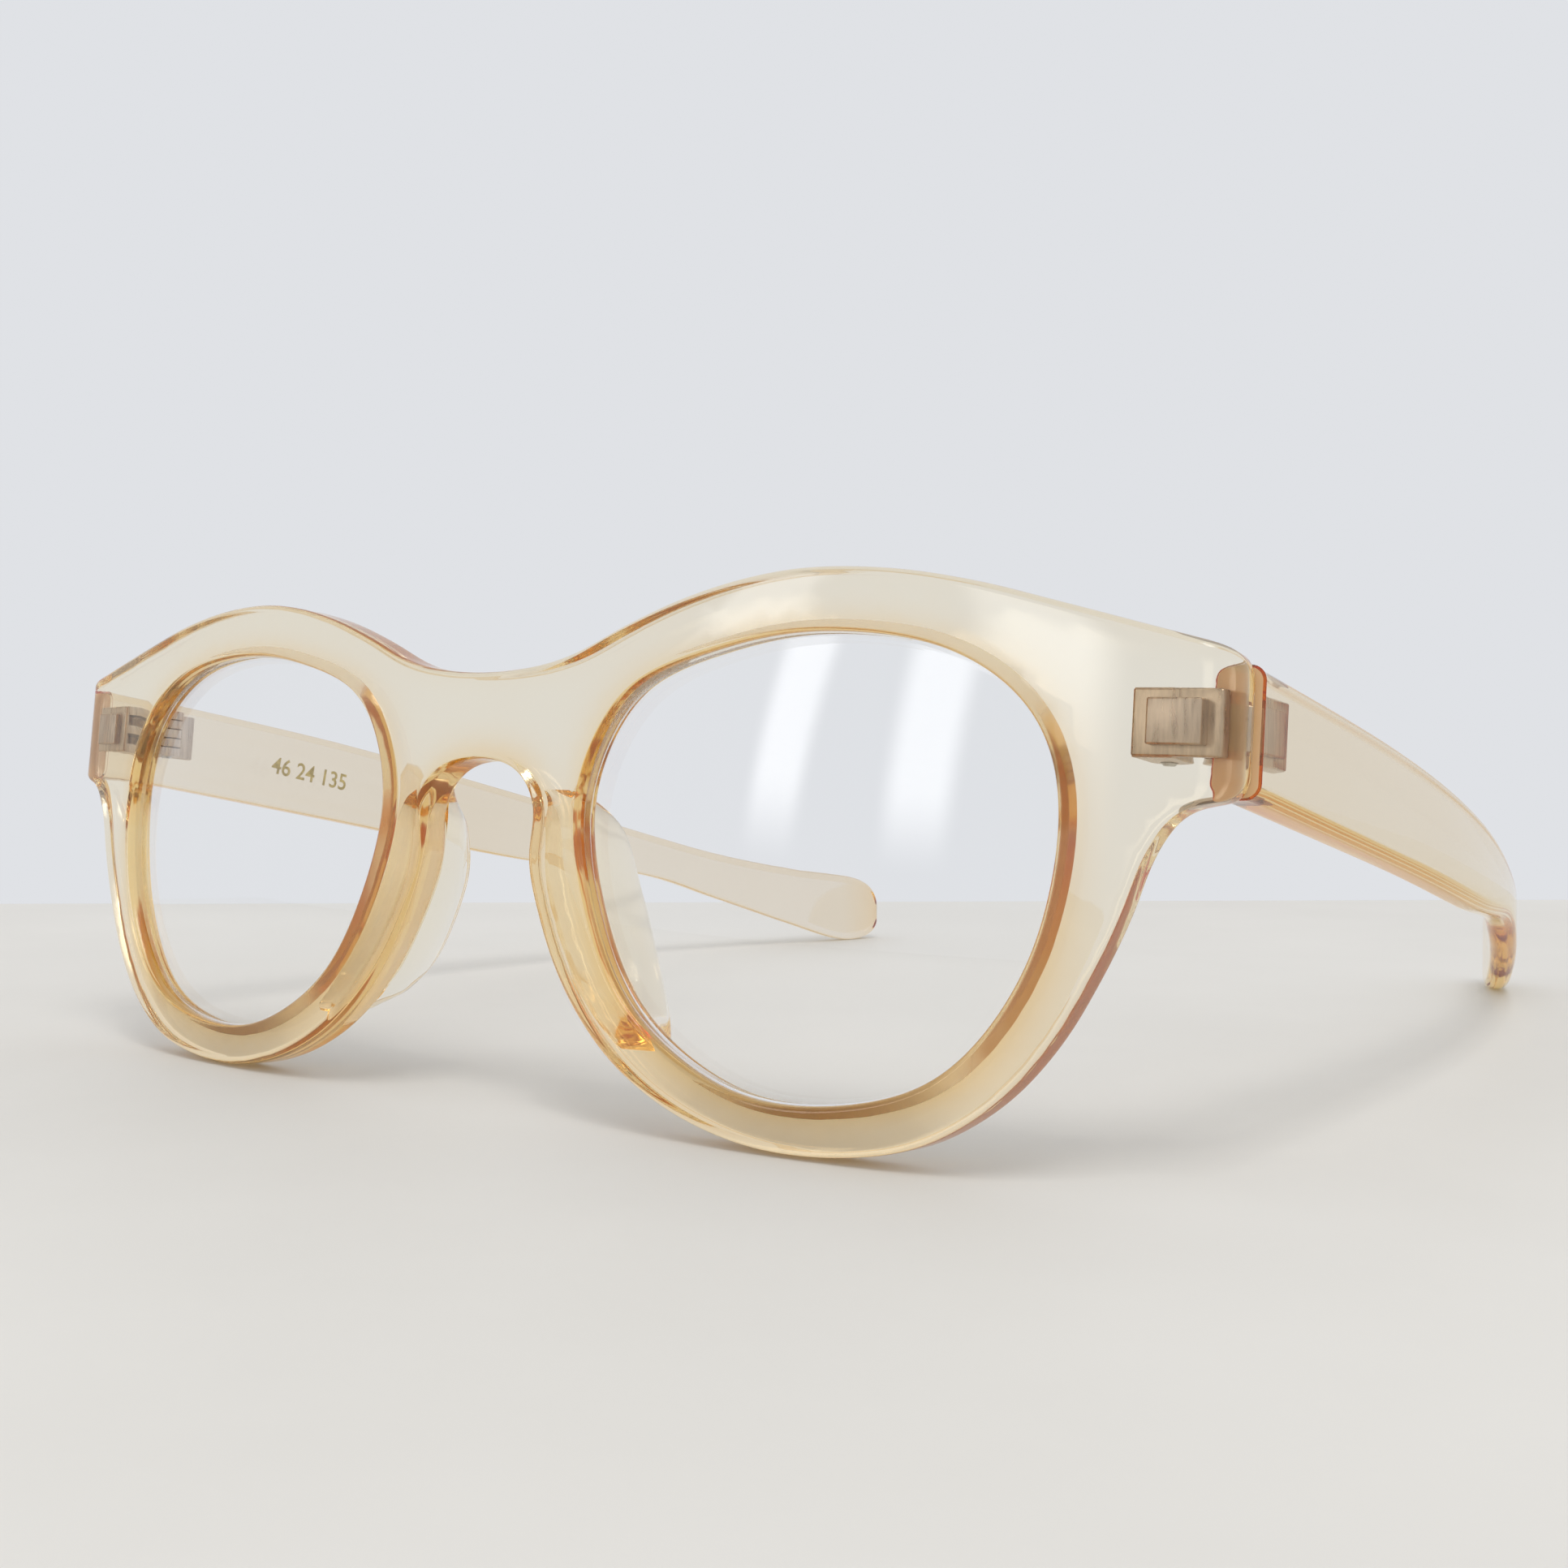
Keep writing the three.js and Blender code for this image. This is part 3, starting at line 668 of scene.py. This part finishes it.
def knuckle(reach, height, turn, low):
    """A barrel with an arm that runs to the plate, its rims rounded, left in millimetres."""
    outline = []
    for angle in np.linspace(math.pi / 2, 3 * math.pi / 2, 33):
        outline.append((BARREL_RADIUS * math.cos(angle), BARREL_RADIUS * math.sin(angle)))
    for part in np.linspace(0.1, 1, 4):
        outline.append((reach * part, -BARREL_RADIUS))
    for part in np.linspace(1, 0.1, 4):
        outline.append((reach * part, BARREL_RADIUS))
    outline = np.array(outline)
    away = outward(outline)
    low_rim = quarter_round(KNUCKLE_RIM, 4)
    high_rim = [(out, height - z) for out, z in low_rim[::-1]]
    rings = [
        np.column_stack([outline - away * out, np.full(len(outline), z)])
        for out, z in low_rim + high_rim
    ]
    points, faces = loft(rings)
    mesh = to_mesh("knuckle", points, faces)
    mesh.transform(Matrix.Scale(1 / MM, 4))
    return moved(mesh, Matrix.Translation((0, 0, low)) @ Matrix.Rotation(turn, 4, "Z"))


def combine(meshes, operation):
    """One mesh from closed meshes, by boolean modifiers on the first."""
    things = [bpy.data.objects.new("part", mesh) for mesh in meshes]
    for thing in things:
        bpy.context.scene.collection.objects.link(thing)
    for thing in things[1:]:
        modifier = things[0].modifiers.new("combine", "BOOLEAN")
        modifier.operation = operation
        modifier.solver = "EXACT"
        modifier.object = thing
    depsgraph = bpy.context.evaluated_depsgraph_get()
    made = bpy.data.meshes.new_from_object(things[0].evaluated_get(depsgraph), depsgraph=depsgraph)
    for thing in things:
        bpy.data.objects.remove(thing)
    return made


def leaf(plate_span, anchor_span, first, turn, reach):
    """A hinge leaf: plate, sunken anchor and every other knuckle from the first, all bored."""
    pitch = HINGE_HEIGHT / KNUCKLES
    parts = [
        block(plate_span, PLATE_HEIGHT, PLATE_BEVEL),
        block(anchor_span, ANCHOR_HEIGHT, ANCHOR_BEVEL),
    ]
    for k in range(first, KNUCKLES, 2):
        low = -HINGE_HEIGHT / 2 + k * pitch + KNUCKLE_GAP / 2
        parts.append(knuckle(reach, pitch - KNUCKLE_GAP, turn, low))
    bore = turned([(BORE_RADIUS, -4), (BORE_RADIUS, 4)])
    return combine([combine(parts, "UNION"), bore], "DIFFERENCE")


def front_leaf():
    made = leaf(FRONT_PLATE, FRONT_ANCHOR, 0, -math.pi / 2, HINGE_BEHIND + ARM_OVERLAP)
    top = HINGE_HEIGHT / 2
    seat = turned([(COUNTERBORE, top - SCREW_HEAD_HEIGHT - 0.1), (COUNTERBORE, top + 1)])
    return combine([made, seat], "DIFFERENCE")


def temple_leaf():
    return leaf(TEMPLE_PLATE, TEMPLE_ANCHOR, 1, 0, TEMPLE_PLATE[0][0] + ARM_OVERLAP)


def screw():
    top = HINGE_HEIGHT / 2 - 0.05
    neck = top - SCREW_HEAD_HEIGHT + 0.05
    foot = -HINGE_HEIGHT / 2 - 0.2
    profile = [
        (SCREW_RADIUS * 0.7, foot),
        (SCREW_RADIUS, foot + 0.18),
        (SCREW_RADIUS, neck),
        (SCREW_HEAD_RADIUS - 0.08, neck),
        (SCREW_HEAD_RADIUS, neck + 0.08),
        (SCREW_HEAD_RADIUS, top - 0.14),
        (SCREW_HEAD_RADIUS - 0.06, top - 0.05),
        (SCREW_HEAD_RADIUS * 0.6, top - 0.01),
        (SCREW_HEAD_RADIUS * 0.1, top),
    ]
    width, depth = SCREW_SLOT
    slot = block(((-1.5, 1.5), (-width / 2, width / 2)), 2 * depth, 0.02)
    slot.transform(Matrix.Translation((0, 0, top)))
    return combine([turned(profile), slot], "DIFFERENCE")


# ---------------------------------------------------------------- materials


def new_material(name):
    material = bpy.data.materials.new(name)
    material.use_nodes = True
    tree = material.node_tree
    return material, tree, tree.nodes["Principled BSDF"]


def noise(tree, scale, detail=4, roughness=0.5, stretch=(1, 1, 1)):
    """Noise in the object's own metres, as its value socket."""
    place = tree.nodes.new("ShaderNodeTexCoord")
    squeeze = tree.nodes.new("ShaderNodeMapping")
    squeeze.inputs["Scale"].default_value = stretch
    texture = tree.nodes.new("ShaderNodeTexNoise")
    texture.inputs["Scale"].default_value = scale
    texture.inputs["Detail"].default_value = detail
    texture.inputs["Roughness"].default_value = roughness
    tree.links.new(place.outputs["Object"], squeeze.inputs["Vector"])
    tree.links.new(squeeze.outputs["Vector"], texture.inputs["Vector"])
    return texture.outputs["Fac"]


def ramp(tree, value, stops):
    made = tree.nodes.new("ShaderNodeValToRGB")
    elements = made.color_ramp.elements
    while len(elements) < len(stops):
        elements.new(0.5)
    for element, (position, colour) in zip(elements, stops):
        element.position = position
        element.color = (*colour, 1)
    tree.links.new(value, made.inputs["Fac"])
    return made.outputs["Color"]


def bump(tree, value, height, strength):
    made = tree.nodes.new("ShaderNodeBump")
    made.inputs["Strength"].default_value = strength
    made.inputs["Distance"].default_value = height
    tree.links.new(value, made.inputs["Height"])
    return made.outputs["Normal"]


def spread(tree, value, low, high):
    made = tree.nodes.new("ShaderNodeMapRange")
    made.inputs["To Min"].default_value = low
    made.inputs["To Max"].default_value = high
    made.inputs["From Min"].default_value = 0.3
    made.inputs["From Max"].default_value = 0.7
    tree.links.new(value, made.inputs["Value"])
    return made.outputs["Result"]


# Painted amber glow, mixed into the base colour along edges by the amber attribute.
PAINTED_GLOW_COLOUR = (1, 0.68, 0.24)
# A sheet of acetate: what passes through it, how densely it is dyed, and its skin's two tints.
FRONT_SHEET = ((0.97, 0.735, 0.07), 38, ((0.985, 0.955, 0.9), (0.992, 0.97, 0.92)))
TEMPLE_SHEET = ((0.95, 0.74, 0.1), 62, ((0.935, 0.87, 0.815), (0.945, 0.885, 0.835)))


def acetate(name, sheet, haze=(0.015, 0.05)):
    """Champagne acetate: clear on a short path through it, amber on a long one; edges painted amber.
    """
    passes, density, tints = sheet
    material, tree, shader = new_material(name)
    clouds = noise(tree, 60, detail=3)
    tint = ramp(tree, clouds, [(0.35, tints[0]), (0.65, tints[1])])
    # The amber attribute mixes the painted glow into the skin's tint.
    edge = tree.nodes.new("ShaderNodeAttribute")
    edge.attribute_name = "amber"
    blend = tree.nodes.new("ShaderNodeMixRGB")
    blend.inputs["Color2"].default_value = (*PAINTED_GLOW_COLOUR, 1)
    tree.links.new(edge.outputs["Fac"], blend.inputs["Fac"])
    tree.links.new(tint, blend.inputs["Color1"])
    tree.links.new(blend.outputs["Color"], shader.inputs["Base Color"])
    shader.inputs["Transmission Weight"].default_value = 1
    shader.inputs["IOR"].default_value = 1.49
    tree.links.new(spread(tree, noise(tree, 350), *haze), shader.inputs["Roughness"])
    waves = bump(tree, noise(tree, 130, detail=2), 0.00002, 0.12)
    tree.links.new(waves, shader.inputs["Normal"])
    absorb = tree.nodes.new("ShaderNodeVolumeAbsorption")
    absorb.inputs["Color"].default_value = (*passes, 1)
    absorb.inputs["Density"].default_value = density
    output = tree.nodes["Material Output"]
    tree.links.new(absorb.outputs["Volume"], output.inputs["Volume"])
    return material


def matt_acetate_painted_glow(name, sheet, clear, low, high):
    """Acetate as a cutter leaves it, matt, with a painted amber glow as its base colour."""
    material = acetate(name, sheet, haze=(0.12, 0.2))
    tree = material.node_tree
    shader = tree.nodes["Principled BSDF"]
    shader.inputs["Transmission Weight"].default_value = clear
    marks = noise(tree, 220, detail=3)
    tree.links.new(ramp(tree, marks, [(0.35, low), (0.65, high)]), shader.inputs["Base Color"])
    return material


def lens_plastic(name, smoothest, roughest):
    """Clear lens plastic with the faintest marks of a cloth."""
    material, tree, shader = new_material(name)
    shader.inputs["Transmission Weight"].default_value = 1
    shader.inputs["IOR"].default_value = 1.5
    smears = noise(tree, 90, detail=5, stretch=(1, 1, 0.25))
    tree.links.new(spread(tree, smears, smoothest, roughest), shader.inputs["Roughness"])
    clean = ramp(tree, smears, [(0.3, (0.985, 0.99, 0.99)), (0.7, (1, 1, 1))])
    tree.links.new(clean, shader.inputs["Base Color"])
    return material


def satin_steel(name, low, high):
    """Nickel silver with fine brushing and a tumbled, slightly uneven surface."""
    material, tree, shader = new_material(name)
    shader.inputs["Metallic"].default_value = 1
    brushed = noise(tree, 2500, detail=3, stretch=(1, 1, 0.08))
    tree.links.new(ramp(tree, brushed, [(0.3, low), (0.7, high)]), shader.inputs["Base Color"])
    tree.links.new(spread(tree, brushed, 0.24, 0.42), shader.inputs["Roughness"])
    tree.links.new(bump(tree, brushed, 0.00001, 0.4), shader.inputs["Normal"])
    return material


def gold_foil():
    """Pressed gold foil, a little uneven and worn."""
    material, tree, shader = new_material("gold_foil")
    shader.inputs["Metallic"].default_value = 1
    worn = noise(tree, 1800, detail=4)
    stops = [(0.35, (0.36, 0.26, 0.07)), (0.65, (0.62, 0.47, 0.15))]
    tree.links.new(ramp(tree, worn, stops), shader.inputs["Base Color"])
    tree.links.new(spread(tree, worn, 0.3, 0.5), shader.inputs["Roughness"])
    tree.links.new(bump(tree, worn, 0.00001, 0.5), shader.inputs["Normal"])
    return material


def floor_material():
    """A matt, pale table top with faint mottling."""
    material, tree, shader = new_material("table_top")
    clouds = noise(tree, 14, detail=5, roughness=0.55)
    stops = [(0.3, (0.765, 0.737, 0.682)), (0.7, (0.81, 0.782, 0.726))]
    tree.links.new(ramp(tree, clouds, stops), shader.inputs["Base Color"])
    shader.inputs["Roughness"].default_value = 0.6
    shader.inputs["Specular IOR Level"].default_value = 0.3
    tree.links.new(bump(tree, noise(tree, 900), 0.0001, 0.15), shader.inputs["Normal"])
    return material


# ---------------------------------------------------------------- the glasses


def make_looks():
    """The materials of each slot: its main one, then the one of its matt, amber-painted faces, if
    any.
    """
    # Cut rim walls and temple butts take a painted amber glow as their base colour.
    painted_glow_rim_cut = matt_acetate_painted_glow("front_painted_glow_rim_cut", FRONT_SHEET, 0.85, (1, 0.64, 0.21), (1, 0.7, 0.28))
    painted_glow_temple_butt = matt_acetate_painted_glow("painted_glow_temple_butt", TEMPLE_SHEET, 0.3, (0.94, 0.65, 0.33), (0.97, 0.71, 0.4))
    return {
        "front_acetate": [acetate("front_acetate", FRONT_SHEET), painted_glow_rim_cut],
        "pad_acetate": [acetate("pad_acetate", FRONT_SHEET)],
        "temple_acetate": [acetate("temple_acetate", TEMPLE_SHEET), painted_glow_temple_butt],
        "lens_glass": [lens_plastic("lens_plastic", 0, 0.02), lens_plastic("lens_edge", 0.2, 0.3)],
        "hinge_steel": [satin_steel("hinge_steel", (0.42, 0.33, 0.255), (0.68, 0.56, 0.45))],
        "screw_steel": [satin_steel("screw_steel", (0.45, 0.44, 0.42), (0.62, 0.6, 0.57))],
    }


def temple_mesh(table):
    rings = temple_rings(table)
    return to_mesh("temple", *loft(rings), end_faces(rings), temple_painted_glow(rings))


def lens_mesh():
    """The left lens, its bevel matt."""
    rings = lens_rings()
    ridge = len(rings) // 2
    bevel = range((ridge - 1) * LENS_POINTS, (ridge + 1) * LENS_POINTS)
    return to_mesh("lens", *loft(rings), bevel)


def build_glasses():
    """Adds every piece but the print: where the front's drawing goes, and its table height."""
    looks = make_looks()
    points, faces, walls, amber = front_mesh()
    table = points[:, 2].min()
    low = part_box("front_frame")[0]
    place = Matrix.Translation((0, low.y - points[:, 1].min() * MM, low.z - table * MM))
    front = moved(to_mesh("front", points, faces, walls, amber), place)
    add_piece("front_acetate_body", front, looks, "front", "front_frame", "front_acetate")

    pin = on_front(HINGE_ACROSS, HINGE_UP, THICKNESS + HINGE_BEHIND) * MM
    hinge = place @ Matrix.Translation(pin) @ Matrix.Rotation(-LEAN, 4, "X") @ Matrix.Scale(MM, 4)
    sweep = Matrix.Rotation(math.atan(2 * BOW * HINGE_ACROSS), 4, "Z")
    temple = moved(temple_mesh(table), place)
    lens = moved(lens_mesh(), place)
    pad = moved(to_mesh("pad", *loft(pad_rings())), place)
    fixed_leaf = moved(front_leaf(), hinge @ sweep)
    folding_leaf = moved(temple_leaf(), hinge)
    shapes = [
        ("lens", lens, "front", "lens", "lens_glass"),
        ("bonded_nose_pad", pad, "front", "nose_pad", "pad_acetate"),
        ("curved_temple", temple, "temple", "temple", "temple_acetate"),
        ("front_hinge_leaf", fixed_leaf, "front", "hinge_front_leaf", "hinge_steel"),
        ("temple_hinge_leaf", folding_leaf, "temple", "hinge_temple_leaf", "hinge_steel"),
        ("slotted_screw", moved(screw(), hinge), "front", "hinge_screw", "screw_steel"),
    ]
    for name, mesh, body, node, slot in shapes:
        smooth(mesh)
        for side, copy in (("left", mesh), ("right", mirrored(mesh, f"{name}_right"))):
            rides = "front" if body == "front" else f"{side}_temple"
            add_piece(f"{name}_{side}", copy, looks, rides, f"{node}_{side}", slot)
    return place, table


def add_size_print(place, table):
    """Gold size numbers along the inner face of the right temple."""
    text = bpy.data.curves.new("size_print", "FONT")
    text.body = PRINT_TEXT
    text.size = 1
    text.offset = 0.012
    text.extrude = 0.004
    shape = bpy.data.objects.new("size_print", text)
    bpy.context.scene.collection.objects.link(shape)
    depsgraph = bpy.context.evaluated_depsgraph_get()
    mesh = bpy.data.meshes.new_from_object(shape.evaluated_get(depsgraph), depsgraph=depsgraph)
    bpy.data.objects.remove(shape)

    start = temple_start(table)

    def inner_face(back):
        part = back / TEMPLE_STATIONS[1][0] / (len(TEMPLE_STATIONS) - 1)
        _, top, bottom = catmull(TEMPLE_STATIONS, [part])[0]
        x = temple_thickness(back) - temple_outside(back)
        return Vector((x, start + back, table + (top + bottom) / 2))

    begin, end = inner_face(PRINT_FROM), inner_face(PRINT_FROM + PRINT_LENGTH)
    along = (end - begin).normalized()
    out = along.cross(Vector((0, 0, 1))).normalized()
    upright = out.cross(along)
    turn = Matrix((along, upright, out)).transposed().to_4x4()
    corners = np.array([v.co[:] for v in mesh.vertices])
    low, high = corners.min(axis=0), corners.max(axis=0)
    wide, tall, _ = high - low
    stretch = Matrix.Diagonal((PRINT_LENGTH / wide, PRINT_HEIGHT / tall, 1, 1))
    centre = Matrix.Translation((-low[0], -(low[1] + high[1]) / 2, -low[2]))
    lift = Matrix.Translation(begin + out * PRINT_LIFT)
    mesh.transform(place @ Matrix.Scale(MM, 4) @ lift @ turn @ stretch @ centre)
    mesh.materials.append(gold_foil())
    piece = bpy.data.objects.new("size_print_right", mesh)
    bpy.context.scene.collection.objects.link(piece)
    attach(piece, "right_temple")


# ---------------------------------------------------------------- stage


# The table top reaches this far before and behind the camera, and to either side, in metres.
FLOOR_AHEAD = 0.374
FLOOR_BEHIND = 3
FLOOR_ASIDE = 3


def add_floor():
    """A table top that ends square to the camera, where the photo's table meets its wall."""
    away = Vector((-math.sin(HEADING), math.cos(HEADING), 0))
    across = Vector((away.y, -away.x, 0))
    below_eye = Vector((EYE[0], EYE[1], 0))
    near, far = below_eye - away * FLOOR_BEHIND, below_eye + away * FLOOR_AHEAD
    aside = across * FLOOR_ASIDE
    corners = [near - aside, near + aside, far + aside, far - aside]
    mesh = bpy.data.meshes.new("floor")
    mesh.from_pydata(corners, [], [(0, 1, 2, 3)])
    mesh.materials.append(floor_material())
    floor = bpy.data.objects.new("floor", mesh)
    bpy.context.scene.collection.objects.link(floor)


LIT_POINT = (0.02, -0.03, 0.02)
SOFTBOX_BORDER = 0.3


def soften_edges(data, width):
    """Fades a softbox out towards its borders, over a share of its size."""
    data.use_nodes = True
    tree = data.node_tree
    place = tree.nodes.new("ShaderNodeNewGeometry")
    split = tree.nodes.new("ShaderNodeSeparateXYZ")
    tree.links.new(place.outputs["Parametric"], split.inputs["Vector"])
    falloff = None
    for axis in ("X", "Y"):
        away = tree.nodes.new("ShaderNodeMath")
        away.operation = "SUBTRACT"
        away.inputs[1].default_value = 0.5
        tree.links.new(split.outputs[axis], away.inputs[0])
        size = tree.nodes.new("ShaderNodeMath")
        size.operation = "ABSOLUTE"
        tree.links.new(away.outputs[0], size.inputs[0])
        edge = tree.nodes.new("ShaderNodeMapRange")
        edge.interpolation_type = "SMOOTHSTEP"
        edge.inputs["From Min"].default_value = 0.5
        edge.inputs["From Max"].default_value = 0.5 - width
        tree.links.new(size.outputs[0], edge.inputs["Value"])
        if falloff is None:
            falloff = edge.outputs["Result"]
            continue
        both = tree.nodes.new("ShaderNodeMath")
        both.operation = "MULTIPLY"
        tree.links.new(falloff, both.inputs[0])
        tree.links.new(edge.outputs["Result"], both.inputs[1])
        falloff = both.outputs[0]
    tree.links.new(falloff, tree.nodes["Emission"].inputs["Strength"])


def add_light(name, toward, distance, size, power):
    """A white softbox that faces the glasses from a direction."""
    data = bpy.data.lights.new(name, "AREA")
    data.shape = "RECTANGLE"
    data.size, data.size_y = size
    data.energy = power
    light = bpy.data.objects.new(name, data)
    away = Vector(toward).normalized()
    light.location = Vector(LIT_POINT) + away * distance
    light.rotation_mode = "QUATERNION"
    light.rotation_quaternion = away.to_track_quat("Z", "Y")
    light.visible_camera = False
    soften_edges(data, SOFTBOX_BORDER)
    bpy.context.scene.collection.objects.link(light)


def add_lights():
    world = bpy.data.worlds.new("studio")
    world.use_nodes = True
    background = world.node_tree.nodes["Background"]
    background.inputs["Color"].default_value = (0.745, 0.76, 0.79, 1)
    background.inputs["Strength"].default_value = 1
    bpy.context.scene.world = world
    add_light("key", (0.38, -0.37, 1), 1.2, (0.6, 0.6), 6)
    add_light("lamp", (0.2, -0.25, 1), 1.4, (0.1, 0.1), 1.4)
    add_light("window_left", (-0.5, -0.86, 0.4), 1.5, (0.2, 0.85), 1.4)
    add_light("window_right", (-0.24, -0.95, 0.4), 1.5, (0.24, 0.85), 1.7)


def set_up_render():
    scene = bpy.context.scene
    scene.view_settings.view_transform = "Standard"
    scene.view_settings.look = "None"
    scene.cycles.max_bounces = 64
    scene.cycles.transmission_bounces = 64
    scene.cycles.glossy_bounces = 64
    scene.cycles.diffuse_bounces = 12
    scene.cycles.use_denoising = True


make_camera()
shift, table_height = build_glasses()
add_size_print(shift, table_height)
add_floor()
add_lights()
set_up_render()
